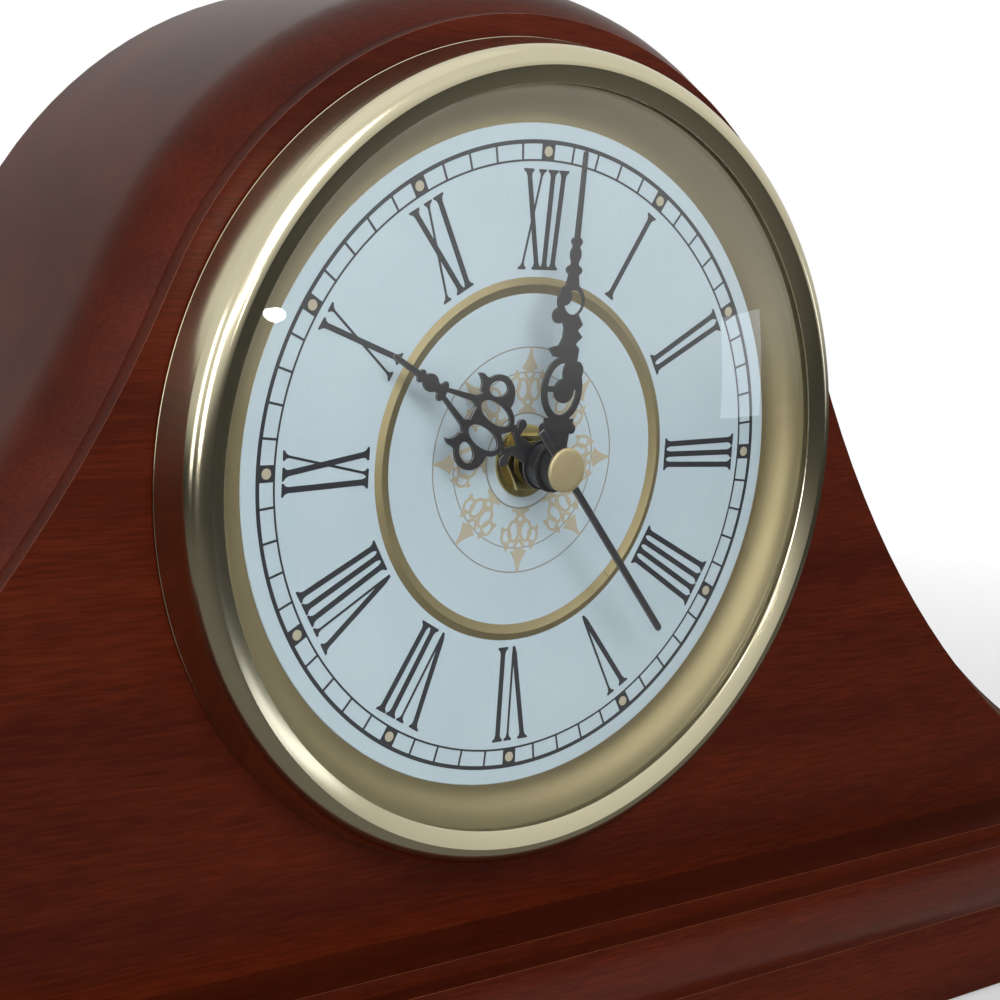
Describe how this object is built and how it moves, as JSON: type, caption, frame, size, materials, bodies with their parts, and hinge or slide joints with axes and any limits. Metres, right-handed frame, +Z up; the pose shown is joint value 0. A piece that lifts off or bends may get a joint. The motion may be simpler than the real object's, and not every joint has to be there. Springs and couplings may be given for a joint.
{
  "type": "mantel clock",
  "caption": "Round-topped wooden mantel clock with hollow shoulders on a moulded base, brass bezel, convex glass, Roman dial, pierced hands, quartz movement and rear door.",
  "frame": {"origin": "middle of the underside, on the surface that the clock stands on", "axes": "+Z up, +Y from the dial to the back, +X to the right seen from the front"},
  "size_m": [0.4374, 0.102, 0.2219],
  "materials": {
    "mahogany": "satin stained mahogany",
    "hardboard": "brown hardboard",
    "pine": "plain planed softwood",
    "felt": "dark green felt",
    "champagne_brass": "spun and satin lacquered",
    "dial_gold": "brushed and lacquered sheet",
    "dial_white": "printed white enamel",
    "clear_glass": "clear",
    "black_rubber": "moulded",
    "steel": "zinc plated",
    "brass": "turned brass",
    "black_metal": "black stove enamel",
    "black_plastic": "moulded",
    "white_plastic": "natural acetal",
    "magnet": "sintered",
    "copper": "enamelled copper wire",
    "circuit": "phenolic board",
    "tin": "drawn can",
    "battery_wrap": "plain dark sleeve"
  },
  "bodies": {
    "case": {"front_board": "mahogany", "case_shell": "mahogany", "base_moulding": "mahogany", "base_plinth": "mahogany", "felt_sheet": "felt", "base_screws": "steel", "panel_blocks": "pine", "bottom_batten": "pine", "back_panel": "hardboard", "panel_screws": "steel", "hinge_leaves_fixed": "brass", "hinge_pins": "steel", "magnet_catch": "black_plastic", "dial_face": "dial_white", "dial_ring": "dial_gold", "dial_pan": "dial_gold", "pan_screws": "steel", "glass": "clear_glass", "glass_gasket": "black_rubber", "bezel": "champagne_brass", "movement_front": "black_plastic", "movement_cover": "black_plastic", "threaded_bush": "brass", "rubber_washer": "black_rubber", "brass_washer": "brass", "hex_nut": "brass", "stator": "steel", "drive_coil": "copper", "circuit_board": "circuit", "quartz_crystal": "tin", "battery": "battery_wrap", "battery_contacts": "steel"},
    "hour": {"hour_hand": "black_metal", "hour_wheel": "white_plastic"},
    "minute": {"minute_hand": "black_metal", "cannon_pinion": "white_plastic"},
    "second": {"second_hand": "black_metal", "second_cap": "brass", "second_arbor": "steel", "second_wheel": "white_plastic"},
    "motion": {"motion_wheel": "white_plastic"},
    "setting": {"setting_knob": "black_plastic"},
    "centre": {"centre_wheel": "white_plastic"},
    "third": {"third_wheel": "white_plastic"},
    "link": {"link_wheel": "white_plastic"},
    "motor": {"rotor": "magnet"},
    "door": {"rear_door": "hardboard", "hinge_leaves_door": "brass", "door_knob": "brass", "strike_plate": "steel"}
  },
  "joints": [
    {"name": "minute_turn", "type": "hinge", "parent": "case", "child": "minute", "pos_m": [0, -0.0246, 0.1294], "axis": [0, 1, 0], "continuous": true},
    {"name": "hour_turn", "type": "hinge", "parent": "case", "child": "hour", "pos_m": [0, -0.0246, 0.1294], "axis": [0, 1, 0], "continuous": true},
    {"name": "motion_turn", "type": "hinge", "parent": "case", "child": "motion", "pos_m": [-0.0072, -0.0246, 0.1294], "axis": [0, 1, 0], "continuous": true},
    {"name": "setting_turn", "type": "hinge", "parent": "case", "child": "setting", "pos_m": [-0.0144, -0.0246, 0.1294], "axis": [0, 1, 0], "continuous": true},
    {"name": "second_turn", "type": "hinge", "parent": "case", "child": "second", "pos_m": [0, -0.0246, 0.1294], "axis": [0, 1, 0], "continuous": true},
    {"name": "link_turn", "type": "hinge", "parent": "case", "child": "link", "pos_m": [0.00875, -0.0246, 0.1294], "axis": [0, 1, 0], "continuous": true},
    {"name": "rotor_turn", "type": "hinge", "parent": "case", "child": "motor", "pos_m": [0.01595, -0.0246, 0.1294], "axis": [0, 1, 0], "continuous": true},
    {"name": "third_turn", "type": "hinge", "parent": "case", "child": "third", "pos_m": [0, -0.0246, 0.1379], "axis": [0, 1, 0], "continuous": true},
    {"name": "centre_turn", "type": "hinge", "parent": "case", "child": "centre", "pos_m": [0, -0.0246, 0.1294], "axis": [0, 1, 0], "continuous": true},
    {"name": "door_swing", "type": "hinge", "parent": "case", "child": "door", "pos_m": [-0.0553, 0.03905, 0.1194], "axis": [0, 0, 1], "range_deg": [0, 105]}
  ],
  "couplings": [
    {"joint": "hour_turn", "follows": "minute_turn", "ratio": 0.083333},
    {"joint": "motion_turn", "follows": "minute_turn", "ratio": -0.33333},
    {"joint": "setting_turn", "follows": "minute_turn", "ratio": 1},
    {"joint": "link_turn", "follows": "second_turn", "ratio": -6},
    {"joint": "rotor_turn", "follows": "second_turn", "ratio": 30},
    {"joint": "third_turn", "follows": "second_turn", "ratio": -0.13333},
    {"joint": "centre_turn", "follows": "second_turn", "ratio": 0.016667}
  ]
}
